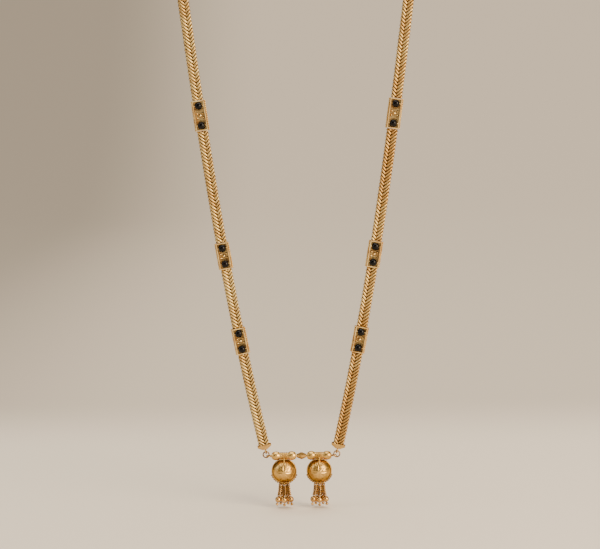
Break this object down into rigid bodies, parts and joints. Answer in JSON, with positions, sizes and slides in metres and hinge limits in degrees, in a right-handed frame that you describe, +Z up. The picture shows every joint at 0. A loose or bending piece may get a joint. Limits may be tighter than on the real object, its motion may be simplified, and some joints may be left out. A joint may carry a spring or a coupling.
{
  "type": "mangalsutra necklace",
  "caption": "Long gold necklace of flat woven bands with black bead plaques, and a cross wire that carries twin domed pendants with chain tassels, closed by an S-hook at the nape.",
  "frame": {"origin": "the point of the nape on which the clasp lies, at the top of the loop's back", "axes": "+Z up, -Y to the front (the side of the domes and the black beads), +X to the right as seen from the front"},
  "size_m": [0.1174, 0.1065, 0.2951],
  "materials": {
    "woven_gold": "satin",
    "bright_gold": "polished",
    "deep_gold": "polished",
    "black_glass": "gloss"
  },
  "bodies": {
    "necklace": {"cross_wire": "deep_gold", "centre_bead": "bright_gold", "s_hook": "bright_gold", "left_jump_ring": "deep_gold", "left_front_cap": "bright_gold", "left_back_cap": "bright_gold", "left_back_ring": "deep_gold", "right_jump_ring": "deep_gold", "right_front_cap": "bright_gold", "right_back_cap": "bright_gold", "right_back_ring": "deep_gold", "left_band_1": "woven_gold", "left_band_2": "woven_gold", "left_band_3": "woven_gold", "left_band_4": "woven_gold", "right_band_1": "woven_gold", "right_band_2": "woven_gold", "right_band_3": "woven_gold", "right_band_4": "woven_gold", "left_plaque_1": "deep_gold", "left_plaque_2": "deep_gold", "left_plaque_3": "deep_gold", "right_plaque_1": "deep_gold", "right_plaque_2": "deep_gold", "right_plaque_3": "deep_gold", "left_bead_1_lower": "black_glass", "left_bead_1_upper": "black_glass", "left_bead_2_lower": "black_glass", "left_bead_2_upper": "black_glass", "left_bead_3_lower": "black_glass", "left_bead_3_upper": "black_glass", "right_bead_1_lower": "black_glass", "right_bead_1_upper": "black_glass", "right_bead_2_lower": "black_glass", "right_bead_2_upper": "black_glass", "right_bead_3_lower": "black_glass", "right_bead_3_upper": "black_glass"},
    "left_pendant": {"left_vati": "bright_gold", "left_tassel_1": "deep_gold", "left_tassel_2": "deep_gold", "left_tassel_3": "deep_gold", "left_tassel_4": "deep_gold", "left_tassel_5": "deep_gold"},
    "right_pendant": {"right_vati": "bright_gold", "right_tassel_1": "deep_gold", "right_tassel_2": "deep_gold", "right_tassel_3": "deep_gold", "right_tassel_4": "deep_gold", "right_tassel_5": "deep_gold"}
  },
  "joints": [
    {"name": "left_pendant_swing", "type": "hinge", "parent": "necklace", "child": "left_pendant", "pos_m": [-0.0074, -0.1, -0.27], "axis": [1, 0, 0], "range_deg": [-90, 90]},
    {"name": "right_pendant_swing", "type": "hinge", "parent": "necklace", "child": "right_pendant", "pos_m": [0.0074, -0.1, -0.27], "axis": [1, 0, 0], "range_deg": [-90, 90]}
  ]
}
